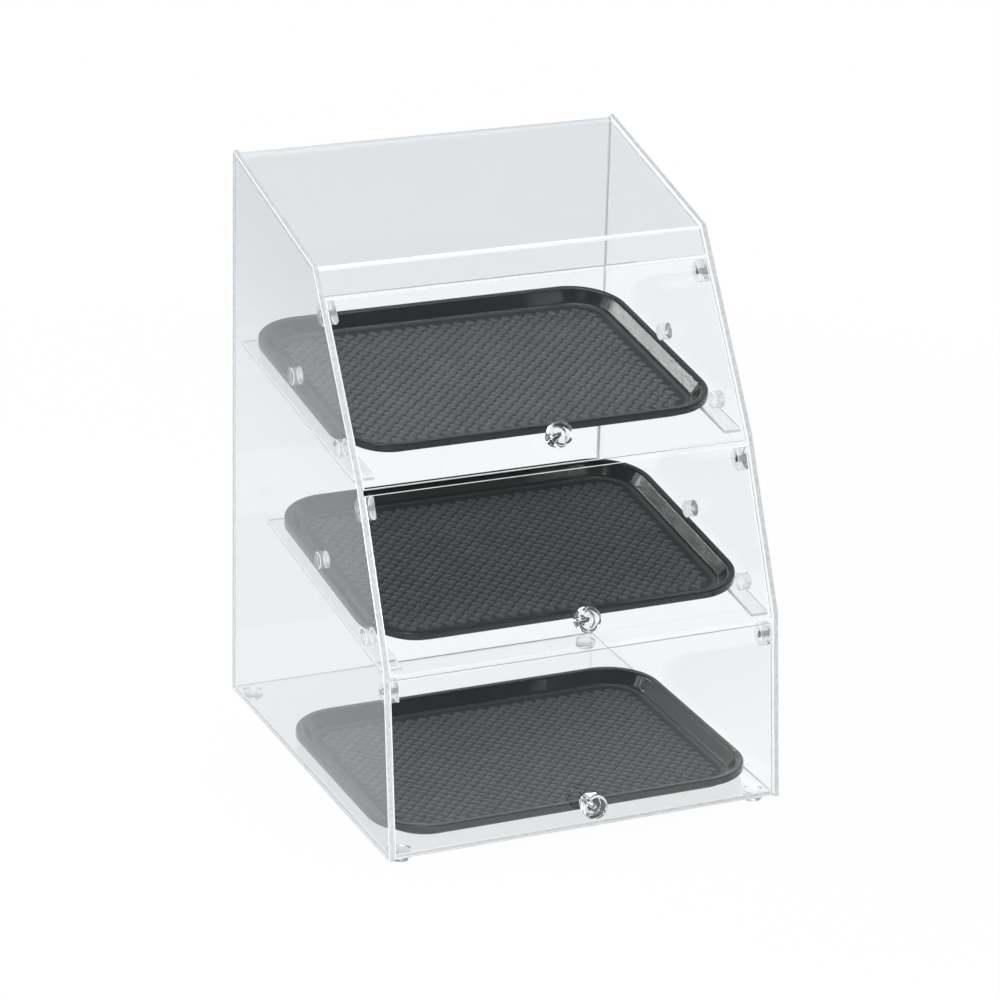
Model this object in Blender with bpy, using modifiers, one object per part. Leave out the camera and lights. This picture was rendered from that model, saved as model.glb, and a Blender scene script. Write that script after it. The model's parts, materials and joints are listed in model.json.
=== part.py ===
"""Countertop display case: a clear acrylic cabinet with three trays and three lift-up doors.

Lengths are metres and +Z is up. +X is the viewer's right and the doors face -Y.
The side outline is drawn as pairs (back, up): how far a point lies behind the front
bottom corner of a side panel, and how far above that panel's bottom edge.
The origin is the middle of the bounding box, at the underside of the feet.
"""
import math

import bmesh
import bpy
from mathutils import Matrix, Vector

# Overall size of the two side panels
CASE_WIDTH = 0.432
CASE_DEPTH = 0.450
CASE_HEIGHT = 0.604

# Corners of the stepped front: low bend, high bend and the crease under the roof. Each
# lies a distance behind the front edge, and up by a share of the panels' height.
LOW_BEND_BACK = 0.023
LOW_BEND_UP_SHARE = 0.3228
HIGH_BEND_BACK = 0.099
HIGH_BEND_UP_SHARE = 0.5993
CREASE_BACK = 0.222
CREASE_UP_SHARE = 0.9073

# Sheet thicknesses, and the rounding of polished sheet edges
SIDE_THICKNESS = 0.006
BACK_THICKNESS = 0.005
BASE_THICKNESS = 0.005
TOP_THICKNESS = 0.005
DOOR_THICKNESS = 0.005
EDGE_ROUND = 0.0006
EDGE_SEGMENTS = 2
CHAMFER_SEGMENTS = 1
BEVEL_ANGLE = math.radians(30)
SHARP_ANGLE = math.radians(35)
QUARTER_TURN = math.radians(90)

# Gaps: between pieces that touch, beside a moving door, and round a hinge pin
TOUCH = 0.0003
DOOR_SIDE_GAP = 0.0010
PIN_CLEARANCE = 0.0001
CUT_OVERRUN = 0.0010
WELD_DISTANCE = 0.00005

# Roof sheet: how far it lies under the side panels' edges, its lip, and its bend
TOP_RECESS = 0.003
LIP_LENGTH = 0.030
BEND_RADIUS = 0.003
BEND_STEPS = 6

# Doors: depth behind the panel edges, gap under the piece above, overlap past a bend
DOOR_RECESS = 0.001
DOOR_TOP_DROP = 0.011
LIP_DOOR_GAP = 0.004
DOOR_BEND_OVERLAP = 0.005
DOOR_FLOOR_GAP = 0.0015

# Hinges: a clear barrel bonded behind each top corner turns on a steel pin
BARREL_RADIUS = 0.012
BARREL_LENGTH = 0.011
BARREL_SIDE_GAP = 0.0005
PIVOT_DROP = 0.012
PIVOT_DEPTH = 0.010
PIN_RADIUS = 0.003
PIN_SEAT_DEPTH = 0.004
PIN_CHAMFER = 0.0005

# Knobs: a clear turned grip on a collar, held by a screw from inside the door
KNOB_UP = 0.027
KNOB_RADIUS = 0.013
KNOB_WAIST_RADIUS = 0.0075
KNOB_COLLAR_RADIUS = 0.0095
KNOB_COLLAR = 0.004
KNOB_NECK = 0.008
KNOB_REACH = 0.024
KNOB_ROUND = 0.003
KNOB_ROUND_STEPS = 4
KNOB_CROWN = 0.0012
SCREW_RADIUS = 0.002
SCREW_CLEARANCE = 0.0003
SCREW_BITE = 0.012
SCREW_HEAD_RADIUS = 0.0045
SCREW_HEAD_HEIGHT = 0.0026
SCREW_SOCKET_RADIUS = 0.0016
SCREW_SOCKET_DEPTH = 0.0014

# Tray runners on the side panels, which tilt down to the front: how far behind the door
# each begins and ends, and how far its top face starts above the bend in front of it
RUNNER_SETBACK = 0.007
RUNNER_END = 0.325
RUNNER_WIDTH = 0.018
RUNNER_THICKNESS = 0.0045
UPPER_RUNNER_RISE = 0.0005
MIDDLE_RUNNER_RISE = -0.0030
TIER_TILT = math.radians(7.2)

# Trays: gap beside the outer rim, its depth, height and corner radius, and the shape of
# wall and rim
TRAY_SIDE_GAP = 0.005
TRAY_DEPTH = 0.302
TRAY_HEIGHT = 0.0165
TRAY_CORNER = 0.056
TRAY_FLOOR_THICKNESS = 0.0026
TRAY_FLARE = 0.0085
TRAY_WALL = 0.0026
TRAY_RIM = 0.0050
TRAY_SKIRT = 0.0080
TRAY_SKIRT_THICKNESS = 0.0022
TRAY_EDGE_ROUND = 0.0016
ROUND_MIDDLE_SHARE = 0.3
TRAY_CORNER_STEPS = 8
TRAY_SETBACK = 0.0335
LOW_TRAY_BACK = 0.020

# Pegs on the side panels: a keeper over the rim and a stop at the front corner
PEG_RADIUS = 0.009
PEG_LENGTH = 0.0105
KEEPER_BACK = 0.184
KEEPER_CLEARANCE = 0.0010
STOP_CLEARANCE = 0.0008

# Feet
FOOT_RADIUS = 0.011
FOOT_HEIGHT = 0.008
FOOT_INSET = 0.003
FOOT_ROUND = 0.0015

# Facets of round pieces
ROUND_STEPS = 20
KNOB_STEPS = 24
SCREW_STEPS = 16

# Materials: colour, roughness and how metallic each is
ACRYLIC = ((0.86, 0.90, 0.92), 0.04, 0.0)
TRAY_PLASTIC = ((0.055, 0.065, 0.067), 0.45, 0.0)
STEEL = ((0.30, 0.31, 0.32), 0.35, 1.0)
BUMPER = ((0.80, 0.83, 0.85), 0.20, 0.0)

# Half widths that the pieces between the side panels follow
INNER_HALF = CASE_WIDTH / 2 - SIDE_THICKNESS
SHEET_HALF = INNER_HALF - TOUCH
DOOR_HALF = INNER_HALF - DOOR_SIDE_GAP
TRAY_WIDTH = 2 * (INNER_HALF - TRAY_SIDE_GAP)

SIDES = (("left", -1), ("right", 1))


class Facet:
    """One straight run of the side panels' front edge, from its lower to its upper end."""

    def __init__(self, low, high):
        self.low = Vector(low)
        self.high = Vector(high)
        self.length = (self.high - self.low).length
        self.along = (self.high - self.low).normalized()
        self.inward = Vector((self.along.y, -self.along.x))

    def point(self, below_top, depth):
        """The pair (back, up) at a distance down from the upper end and behind the edge."""
        return self.high - self.along * below_top + self.inward * depth

    def depth_line_at(self, up, depth):
        """The pair where the line at this depth behind the edge reaches a height."""
        start = self.point(0, depth)
        return start + self.along * ((up - start.y) / self.along.y)

    def tilt(self):
        return -math.atan2(self.along.x, self.along.y)


FRONT_BOTTOM = (0, 0)
LOW_BEND = (LOW_BEND_BACK, CASE_HEIGHT * LOW_BEND_UP_SHARE)
HIGH_BEND = (HIGH_BEND_BACK, CASE_HEIGHT * HIGH_BEND_UP_SHARE)
CREASE = (CREASE_BACK, CASE_HEIGHT * CREASE_UP_SHARE)
BACK_TOP = (CASE_DEPTH, CASE_HEIGHT)
BACK_BOTTOM = (CASE_DEPTH, 0)

LOWER_FACET = Facet(FRONT_BOTTOM, LOW_BEND)
MIDDLE_FACET = Facet(LOW_BEND, HIGH_BEND)
UPPER_FACET = Facet(HIGH_BEND, CREASE)
ROOF_FACET = Facet(CREASE, BACK_TOP)

# Each door: its facet, the drop of its top edge from the facet's upper end, and how far
# its bottom edge lies below the facet's lower end
DOORS = {
    "upper": (UPPER_FACET, LIP_LENGTH + LIP_DOOR_GAP, DOOR_BEND_OVERLAP),
    "middle": (MIDDLE_FACET, DOOR_TOP_DROP, DOOR_BEND_OVERLAP),
    "lower": (LOWER_FACET, DOOR_TOP_DROP, -DOOR_FLOOR_GAP),
}
INNER_FACE_DEPTH = DOOR_RECESS + DOOR_THICKNESS


def knob_profile():
    """Pairs (radius, reach) of the grip, from the middle of its front down to its bore."""
    shoulder = KNOB_REACH - KNOB_CROWN - KNOB_ROUND
    points = [(0, KNOB_REACH)]
    for step in range(KNOB_ROUND_STEPS + 1):
        turn = QUARTER_TURN * step / KNOB_ROUND_STEPS
        points.append((KNOB_RADIUS - KNOB_ROUND + KNOB_ROUND * math.sin(turn),
                       shoulder + KNOB_ROUND * math.cos(turn)))
    points.append((KNOB_RADIUS, KNOB_NECK + KNOB_ROUND))
    points.append((KNOB_WAIST_RADIUS, KNOB_NECK))
    points.append((KNOB_WAIST_RADIUS, KNOB_COLLAR))
    points.append((KNOB_COLLAR_RADIUS, KNOB_COLLAR))
    points.append((KNOB_COLLAR_RADIUS, TOUCH))
    points.append((SCREW_RADIUS + SCREW_CLEARANCE, TOUCH))
    points.append((SCREW_RADIUS + SCREW_CLEARANCE, SCREW_BITE + SCREW_CLEARANCE))
    points.append((0, SCREW_BITE + SCREW_CLEARANCE))
    return points


def door_length(name):
    facet, top_drop, past_low = DOORS[name]
    return facet.length - top_drop + past_low


def knob_front(name):
    """The least back value that a door's knob reaches."""
    facet, top_drop, past_low = DOORS[name]
    seat = facet.point(facet.length + past_low - KNOB_UP, DOOR_RECESS)
    return min(seat.x - facet.inward.x * reach - facet.along.x * radius
               for radius, reach in knob_profile())


CASE_FRONT = min(0, min(knob_front(name) for name in DOORS))
ORIGIN_BACK = (CASE_FRONT + CASE_DEPTH) / 2
PANEL_LIFT = FOOT_HEIGHT + TOUCH


def place(x, pair):
    """World position of a point given by its x and its pair (back, up)."""
    return Vector((x, pair[0] - ORIGIN_BACK, pair[1] + PANEL_LIFT))


for old in list(bpy.data.objects):
    bpy.data.objects.remove(old, do_unlink=True)

parts = bpy.data.collections.new("display_case")
bpy.context.scene.collection.children.link(parts)
cutters = bpy.data.collections.new("cutters")
bpy.context.scene.collection.children.link(cutters)


def make_material(name, recipe):
    colour, roughness, metallic = recipe
    material = bpy.data.materials.new(name)
    material.use_nodes = True
    shader = material.node_tree.nodes["Principled BSDF"]
    shader.inputs["Base Color"].default_value = (*colour, 1)
    shader.inputs["Roughness"].default_value = roughness
    shader.inputs["Metallic"].default_value = metallic
    material.diffuse_color = (*colour, 1)
    return material


def add_object(name, mesh, recipe, collection=parts):
    """Link a mesh as an object that has a material of its own."""
    item = bpy.data.objects.new(name, mesh)
    collection.objects.link(item)
    if recipe:
        item.data.materials.append(make_material(name, recipe))
    return item


def add_hinge_empty(name, location, turn):
    empty = bpy.data.objects.new(name, None)
    empty.location = location
    empty.rotation_euler = (turn, 0, 0)
    empty.empty_display_size = BARREL_RADIUS
    parts.objects.link(empty)
    return empty


def round_edges(item):
    bevel = item.modifiers.new("rounded_edges", "BEVEL")
    bevel.width = EDGE_ROUND
    bevel.segments = EDGE_SEGMENTS
    bevel.limit_method = "ANGLE"
    bevel.angle_limit = BEVEL_ANGLE


def smooth(item):
    item.data.shade_smooth()
    item.data.set_sharp_from_angle(angle=SHARP_ANGLE)


# Where an outline's own x, y and thickness point: outlines of the side view, drawn as
# (back, up) and thick along X, and outlines of the front view, drawn as (x, up)
SIDE_VIEW = Matrix(((0, 0, 1), (1, 0, 0), (0, 1, 0))).to_4x4()
FRONT_VIEW = Matrix(((1, 0, 0), (0, 0, -1), (0, 1, 0))).to_4x4()


def plate_mesh(name, outlines, thickness, view):
    """A flat sheet from closed outlines, the first its edge and any others its holes."""
    curve = bpy.data.curves.new(name, "CURVE")
    curve.dimensions = "2D"
    curve.fill_mode = "BOTH"
    curve.extrude = thickness / 2
    for outline in outlines:
        spline = curve.splines.new("POLY")
        spline.points.add(len(outline) - 1)
        for point, (first, second) in zip(spline.points, outline):
            point.co = (first, second, 0, 1)
        spline.use_cyclic_u = True
    drawn = bpy.data.objects.new(name, curve)
    bpy.context.scene.collection.objects.link(drawn)
    graph = bpy.context.evaluated_depsgraph_get()
    mesh = bpy.data.meshes.new_from_object(drawn.evaluated_get(graph))
    bpy.data.objects.remove(drawn, do_unlink=True)
    bpy.data.curves.remove(curve)
    shape = bmesh.new()
    shape.from_mesh(mesh)
    bmesh.ops.remove_doubles(shape, verts=shape.verts, dist=WELD_DISTANCE)
    bmesh.ops.transform(shape, matrix=view, verts=shape.verts)
    bmesh.ops.recalc_face_normals(shape, faces=shape.faces)
    shape.to_mesh(mesh)
    shape.free()
    mesh.materials.clear()
    return mesh


def circle(radius, steps=ROUND_STEPS):
    turns = [2 * math.pi * step / steps for step in range(steps)]
    return [(radius * math.cos(turn), radius * math.sin(turn)) for turn in turns]


def rod_mesh(name, radius, length, axis, chamfer=0):
    """A cylinder centred on its own origin, along X or Z, with chamfered ends."""
    shape = bmesh.new()
    bmesh.ops.create_cone(shape, cap_ends=True, segments=ROUND_STEPS, radius1=radius,
                          radius2=radius, depth=length)
    if chamfer:
        rims = [edge for edge in shape.edges if abs(edge.verts[0].co.z - edge.verts[1].co.z) < TOUCH]
        bmesh.ops.bevel(shape, geom=rims, offset=chamfer, segments=CHAMFER_SEGMENTS,
                        affect="EDGES")
    if axis == "X":
        bmesh.ops.transform(shape, matrix=SIDE_VIEW, verts=shape.verts)
    mesh = bpy.data.meshes.new(name)
    shape.to_mesh(mesh)
    shape.free()
    return mesh


def box_mesh(name, size):
    shape = bmesh.new()
    bmesh.ops.create_cube(shape, size=1)
    bmesh.ops.scale(shape, vec=size, verts=shape.verts)
    mesh = bpy.data.meshes.new(name)
    shape.to_mesh(mesh)
    shape.free()
    return mesh


def turned_object(name, profile, recipe, steps):
    """A solid of revolution about its own Z from pairs (radius, height), top first."""
    mesh = bpy.data.meshes.new(name)
    vertices = [(radius, 0, height) for radius, height in profile]
    edges = [(index, index + 1) for index in range(len(profile) - 1)]
    mesh.from_pydata(vertices, edges, [])
    item = add_object(name, mesh, recipe)
    screw = item.modifiers.new("turned", "SCREW")
    screw.axis = "Z"
    screw.steps = steps
    screw.render_steps = steps
    screw.use_merge_vertices = True
    screw.merge_threshold = WELD_DISTANCE
    screw.use_smooth_shade = False
    return item


def cut(item, cutter):
    """Take a cutter's shape out of an object, and keep the cutter as a hidden guide."""
    cutter.hide_render = True
    cutter.display_type = "WIRE"
    cutting = item.modifiers.new("cut_" + cutter.name, "BOOLEAN")
    cutting.operation = "DIFFERENCE"
    cutting.solver = "EXACT"
    cutting.object = cutter


def pivot_pair(name):
    """The pair (back, up) of a door's hinge axis."""
    facet, top_drop, _ = DOORS[name]
    return facet.point(top_drop + PIVOT_DROP, DOOR_RECESS + PIVOT_DEPTH)


def build_side_panel(name, side):
    """A stepped side sheet with a blind hole for each hinge pin. Side is -1 or 1."""
    outline = [FRONT_BOTTOM, BACK_BOTTOM, BACK_TOP, CREASE, HIGH_BEND, LOW_BEND]
    mesh = plate_mesh(name, [outline], SIDE_THICKNESS, SIDE_VIEW)
    panel = add_object(name, mesh, ACRYLIC)
    panel.location = place(side * (CASE_WIDTH - SIDE_THICKNESS) / 2, (0, 0))
    round_edges(panel)
    seat_depth = PIN_SEAT_DEPTH + TOUCH
    for door in DOORS:
        length = seat_depth + CUT_OVERRUN
        hole = rod_mesh(name + "_hole", PIN_RADIUS + PIN_CLEARANCE, length, "X")
        cutter = add_object(name + "_" + door + "_cutter", hole, None, cutters)
        centre = INNER_HALF + seat_depth - length / 2
        cutter.location = place(side * centre, pivot_pair(door))
        cut(panel, cutter)


def meeting_point(first, second, depth):
    """Where the lines at one depth behind two facets cross."""
    start = first.point(0, depth)
    other = second.point(0, depth)
    run = first.along.cross(second.along)
    return start + first.along * ((other - start).cross(second.along) / run)


def roof_outline():
    """Side outline of the roof sheet: a slope, a bend at the crease and a short lip."""
    outer_depth = TOP_RECESS
    inner_depth = TOP_RECESS + TOP_THICKNESS
    centre = meeting_point(ROOF_FACET, UPPER_FACET, inner_depth + BEND_RADIUS)
    outer, inner = [], []
    for depth, side in ((outer_depth, outer), (inner_depth, inner)):
        start = ROOF_FACET.point(0, depth)
        side.append(start + ROOF_FACET.along * ((CASE_DEPTH - start.x) / ROOF_FACET.along.x))
    for step in range(BEND_STEPS + 1):
        share = step / BEND_STEPS
        ray = -ROOF_FACET.inward.slerp(UPPER_FACET.inward, share)
        outer.append(centre + ray * (BEND_RADIUS + TOP_THICKNESS))
        inner.append(centre + ray * BEND_RADIUS)
    for depth, side in ((outer_depth, outer), (inner_depth, inner)):
        side.append(UPPER_FACET.point(LIP_LENGTH, depth))
    return [tuple(pair) for pair in outer + inner[::-1]]


def roof_underside(back):
    """Height of the roof sheet's lower face at a distance back."""
    start = ROOF_FACET.point(0, TOP_RECESS + TOP_THICKNESS)
    return (start + ROOF_FACET.along * ((back - start.x) / ROOF_FACET.along.x)).y


def build_top_panel():
    width = 2 * SHEET_HALF
    panel = add_object("top_panel", plate_mesh("top_panel", [roof_outline()], width, SIDE_VIEW),
                       ACRYLIC)
    panel.location = place(0, (0, 0))
    smooth(panel)
    round_edges(panel)


def build_back_panel():
    """The sheet between the side panels at the back, cut off under the sloping roof."""
    front = CASE_DEPTH - BACK_THICKNESS
    outline = [(front, 0), (CASE_DEPTH, 0), (CASE_DEPTH, roof_underside(CASE_DEPTH) - TOUCH),
               (front, roof_underside(front) - TOUCH)]
    mesh = plate_mesh("back_panel", [outline], 2 * SHEET_HALF, SIDE_VIEW)
    panel = add_object("back_panel", mesh, ACRYLIC)
    panel.location = place(0, (0, 0))
    round_edges(panel)


def base_front():
    """How far back the base's front edge lies, where the lower door closes against it."""
    return LOWER_FACET.depth_line_at(BASE_THICKNESS, INNER_FACE_DEPTH + TOUCH).x


def build_base_panel():
    back = CASE_DEPTH - BACK_THICKNESS - TOUCH
    size = (2 * SHEET_HALF, back - base_front(), BASE_THICKNESS)
    panel = add_object("base_panel", box_mesh("base_panel", size), ACRYLIC)
    panel.location = place(0, ((base_front() + back) / 2, BASE_THICKNESS / 2))
    round_edges(panel)


def tier_front(facet, rise):
    """Where the line of a tier's runners meets the inner face of the closed door above it."""
    return facet.depth_line_at(facet.low.y + rise, INNER_FACE_DEPTH + TOUCH)


TIER_ALONG = Vector((math.cos(TIER_TILT), math.sin(TIER_TILT)))
TIER_UP = Vector((-math.sin(TIER_TILT), math.cos(TIER_TILT)))
TIERS = {
    "upper": tier_front(UPPER_FACET, UPPER_RUNNER_RISE),
    "middle": tier_front(MIDDLE_FACET, MIDDLE_RUNNER_RISE),
}


def tier_point(tier, back, up):
    """The pair at a distance back along a tier's runners and above their top face."""
    return TIERS[tier] + TIER_ALONG * back + TIER_UP * up


def build_runner(tier, word, side):
    """A ledge on a side panel, under the outer edge of a tray."""
    outline = [tier_point(tier, RUNNER_SETBACK, 0),
               tier_point(tier, RUNNER_SETBACK, -RUNNER_THICKNESS),
               tier_point(tier, RUNNER_END, -RUNNER_THICKNESS),
               tier_point(tier, RUNNER_END, 0)]
    name = f"{tier}_{word}_runner"
    mesh = plate_mesh(name, [[tuple(pair) for pair in outline]], RUNNER_WIDTH, SIDE_VIEW)
    runner = add_object(name, mesh, ACRYLIC)
    runner.location = place(side * (SHEET_HALF - RUNNER_WIDTH / 2), (0, 0))
    round_edges(runner)


def stop_back():
    """How far behind the door a stop stands to meet the tray's round corner."""
    side_gap = INNER_HALF - TRAY_WIDTH / 2
    inset = TOUCH + PEG_LENGTH + TOUCH - side_gap
    chord = math.sqrt(TRAY_CORNER ** 2 - (TRAY_CORNER - inset) ** 2)
    return TRAY_SETBACK + TRAY_CORNER - chord - PEG_RADIUS - TOUCH


def build_peg(name, tier, side, back, up):
    peg = add_object(name, rod_mesh(name, PEG_RADIUS, PEG_LENGTH, "X", EDGE_ROUND), ACRYLIC)
    peg.location = place(side * (SHEET_HALF - PEG_LENGTH / 2), tier_point(tier, back, up))
    smooth(peg)


def build_foot(name, side, back):
    foot = add_object(name, rod_mesh(name, FOOT_RADIUS, FOOT_HEIGHT, "Z", FOOT_ROUND), BUMPER)
    across = SHEET_HALF - FOOT_INSET - FOOT_RADIUS
    foot.location = place(side * across, (back, -TOUCH - FOOT_HEIGHT / 2))
    smooth(foot)


def ring(half_width, depth, inset, corner, height):
    """One rounded rectangle of a tray, drawn in from the rim by an inset."""
    radius = max(corner - inset, TRAY_EDGE_ROUND)
    points = []
    middles = ((half_width - inset - radius, depth - inset - radius),
               (-half_width + inset + radius, depth - inset - radius),
               (-half_width + inset + radius, inset + radius),
               (half_width - inset - radius, inset + radius))
    for quarter, (across, back) in enumerate(middles):
        for step in range(TRAY_CORNER_STEPS + 1):
            turn = QUARTER_TURN * (quarter + step / TRAY_CORNER_STEPS)
            points.append((across + radius * math.cos(turn), back + radius * math.sin(turn), height))
    return points


def tray_section():
    """Pairs (inset from the rim, height) round the wall, from under the floor to its top."""
    foot_inset = TRAY_RIM + TRAY_FLARE
    rim_under = TRAY_HEIGHT - TRAY_WALL
    skirt_low = TRAY_HEIGHT - TRAY_SKIRT
    floor_top_inset = foot_inset + TRAY_WALL
    return [
        (foot_inset + TRAY_EDGE_ROUND, 0),
        (foot_inset, TRAY_EDGE_ROUND / 2),
        (TRAY_RIM, rim_under),
        (TRAY_SKIRT_THICKNESS, rim_under),
        (TRAY_SKIRT_THICKNESS, skirt_low),
        (0, skirt_low),
        (0, TRAY_HEIGHT - TRAY_EDGE_ROUND),
        (TRAY_EDGE_ROUND * ROUND_MIDDLE_SHARE, TRAY_HEIGHT - TRAY_EDGE_ROUND * ROUND_MIDDLE_SHARE),
        (TRAY_EDGE_ROUND, TRAY_HEIGHT),
        (TRAY_RIM + TRAY_WALL / 2, TRAY_HEIGHT),
        (TRAY_RIM + TRAY_WALL, TRAY_HEIGHT - TRAY_EDGE_ROUND),
        (floor_top_inset, TRAY_FLOOR_THICKNESS + TRAY_EDGE_ROUND),
        (floor_top_inset + TRAY_EDGE_ROUND, TRAY_FLOOR_THICKNESS),
    ]


def tray_mesh(name):
    """A moulded tray as a loft of rounded rectangles, closed by its two floor faces."""
    shape = bmesh.new()
    loops = []
    for inset, height in tray_section():
        points = ring(TRAY_WIDTH / 2, TRAY_DEPTH, inset, TRAY_CORNER, height)
        loops.append([shape.verts.new(point) for point in points])
    for lower, upper in zip(loops, loops[1:]):
        for index in range(len(lower)):
            after = (index + 1) % len(lower)
            shape.faces.new((lower[index], lower[after], upper[after], upper[index]))
    shape.faces.new(loops[0][::-1])
    shape.faces.new(loops[-1])
    bmesh.ops.recalc_face_normals(shape, faces=shape.faces)
    mesh = bpy.data.meshes.new(name)
    shape.to_mesh(mesh)
    shape.free()
    return mesh


def build_tray(name, pair, tilt):
    """A tray whose front rim starts at a pair, its floor tilted up to the back."""
    tray = add_object(name, tray_mesh(name), TRAY_PLASTIC)
    tray.location = place(0, pair)
    tray.rotation_euler = (tilt, 0, 0)
    smooth(tray)


def build_door(door):
    """A door sheet with its barrels, knob and screw, all hung from the hinge axis."""
    facet, top_drop, past_low = DOORS[door]
    hinge = add_hinge_empty(door + "_door_hinge", place(0, pivot_pair(door)), facet.tilt())
    top = PIVOT_DROP
    bottom = top - door_length(door)
    knob_up = bottom + KNOB_UP
    sheet_outline = [(-DOOR_HALF, bottom), (DOOR_HALF, bottom), (DOOR_HALF, top), (-DOOR_HALF, top)]
    hole = [(across, up + knob_up) for across, up in circle(SCREW_RADIUS + SCREW_CLEARANCE)]
    mesh = plate_mesh(door + "_door", [sheet_outline, hole], DOOR_THICKNESS, FRONT_VIEW)
    sheet = add_object(door + "_door", mesh, ACRYLIC)
    sheet.location = (0, DOOR_THICKNESS / 2 - PIVOT_DEPTH, 0)
    sheet.parent = hinge
    round_edges(sheet)
    for word, side in SIDES:
        build_barrel(f"{door}_{word}_hinge_barrel", side, hinge)
        build_pin(f"{door}_{word}_hinge_pin", side, door)
    build_knob(door, knob_up, hinge)


def build_barrel(name, side, hinge):
    """A clear barrel with a bore for the pin and a flat where it is bonded to the door."""
    flat = PIVOT_DEPTH - DOOR_THICKNESS - TOUCH
    outlines = [barrel_rim(flat), circle(PIN_RADIUS + PIN_CLEARANCE)]
    barrel = add_object(name, plate_mesh(name, outlines, BARREL_LENGTH, SIDE_VIEW), ACRYLIC)
    barrel.location = (side * (INNER_HALF - BARREL_SIDE_GAP - BARREL_LENGTH / 2), 0, 0)
    barrel.parent = hinge
    smooth(barrel)


def barrel_rim(flat):
    """A circle cut off by the plane at a distance in front of its middle."""
    half_open = math.acos(flat / BARREL_RADIUS)
    turns = [math.pi + half_open + 2 * (math.pi - half_open) * step / ROUND_STEPS
             for step in range(ROUND_STEPS + 1)]
    return [(BARREL_RADIUS * math.cos(turn), BARREL_RADIUS * math.sin(turn)) for turn in turns]


def build_pin(name, side, door):
    """A steel pin fixed in the side panel, on which the barrel turns."""
    length = PIN_SEAT_DEPTH + BARREL_SIDE_GAP + BARREL_LENGTH
    pin = add_object(name, rod_mesh(name, PIN_RADIUS, length, "X", PIN_CHAMFER), STEEL)
    pin.location = place(side * (INNER_HALF + PIN_SEAT_DEPTH - length / 2), pivot_pair(door))
    smooth(pin)


def build_knob(door, up, hinge):
    grip = turned_object(door + "_knob", knob_profile(), ACRYLIC, KNOB_STEPS)
    grip.location = (0, -PIVOT_DEPTH, up)
    grip.rotation_euler = (QUARTER_TURN, 0, 0)
    grip.parent = hinge
    smooth(grip)
    screw = turned_object(door + "_knob_screw", screw_profile(), STEEL, SCREW_STEPS)
    screw.location = (0, -PIVOT_DEPTH, up)
    screw.rotation_euler = (QUARTER_TURN, 0, 0)
    screw.parent = hinge
    smooth(screw)


def screw_profile():
    """Pairs (radius, height) of a screw from its tip in the knob to its head inside."""
    seat = -DOOR_THICKNESS - TOUCH
    head_end = seat - SCREW_HEAD_HEIGHT
    return [
        (0, SCREW_BITE),
        (SCREW_RADIUS - EDGE_ROUND, SCREW_BITE),
        (SCREW_RADIUS, SCREW_BITE - EDGE_ROUND),
        (SCREW_RADIUS, seat),
        (SCREW_HEAD_RADIUS, seat),
        (SCREW_HEAD_RADIUS, seat - SCREW_HEAD_HEIGHT / 2),
        (SCREW_HEAD_RADIUS - EDGE_ROUND, head_end + EDGE_ROUND),
        (SCREW_HEAD_RADIUS - SCREW_SOCKET_RADIUS, head_end),
        (SCREW_SOCKET_RADIUS, head_end),
        (SCREW_SOCKET_RADIUS, head_end + SCREW_SOCKET_DEPTH),
        (0, head_end + SCREW_SOCKET_DEPTH),
    ]


build_base_panel()
build_back_panel()
build_top_panel()
for word, side in SIDES:
    build_side_panel(word + "_side_panel", side)
    for tier in TIERS:
        build_runner(tier, word, side)
        keeper_up = TOUCH + TRAY_HEIGHT + KEEPER_CLEARANCE + PEG_RADIUS
        build_peg(f"{tier}_{word}_tray_keeper", tier, side, KEEPER_BACK, keeper_up)
        build_peg(f"{tier}_{word}_tray_stop", tier, side, stop_back(), STOP_CLEARANCE + PEG_RADIUS)
    foot_edge = FOOT_INSET + FOOT_RADIUS
    build_foot(f"front_{word}_foot", side, base_front() + foot_edge)
    build_foot(f"back_{word}_foot", side, CASE_DEPTH - BACK_THICKNESS - foot_edge)
for door in DOORS:
    build_door(door)
for tier in TIERS:
    build_tray(tier + "_tray", tier_point(tier, TRAY_SETBACK, TOUCH), TIER_TILT)
build_tray("lower_tray", (LOW_TRAY_BACK, BASE_THICKNESS + TOUCH), 0)
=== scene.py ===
"""Looks of the clear countertop display case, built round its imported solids.

Lengths are metres, +Z is up and the doors face -Y, as in the frame. The acrylic sheets keep
their solids. Trays, knobs, pegs, barrels, pins, screws and feet get finer meshes in place.
"""
import json
import math

import bmesh
import bpy
from mathutils import Matrix, Vector


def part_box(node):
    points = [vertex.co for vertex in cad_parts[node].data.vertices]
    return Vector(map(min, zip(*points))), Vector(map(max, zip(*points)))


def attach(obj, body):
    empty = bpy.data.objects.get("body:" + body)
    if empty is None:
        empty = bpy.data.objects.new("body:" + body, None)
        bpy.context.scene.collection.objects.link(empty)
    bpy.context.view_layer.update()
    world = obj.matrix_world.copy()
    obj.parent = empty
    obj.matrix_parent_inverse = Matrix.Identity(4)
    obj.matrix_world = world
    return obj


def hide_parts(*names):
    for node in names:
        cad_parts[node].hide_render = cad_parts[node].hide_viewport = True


# Camera, as worked out from the case's corners in a picture 1000 pixels wide
PICTURE_SIZE = 1000
FOCAL_PIXELS = 3931.6
SENSOR_MM = 36.0
CAMERA_YAW = math.radians(24.251)
CAMERA_PITCH = math.radians(21.275)
CAMERA_ROLL = math.radians(1.570)
CAMERA_PLACE = (-1.5537, -3.4260, 1.7487)
CAMERA_REACH = 60

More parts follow.
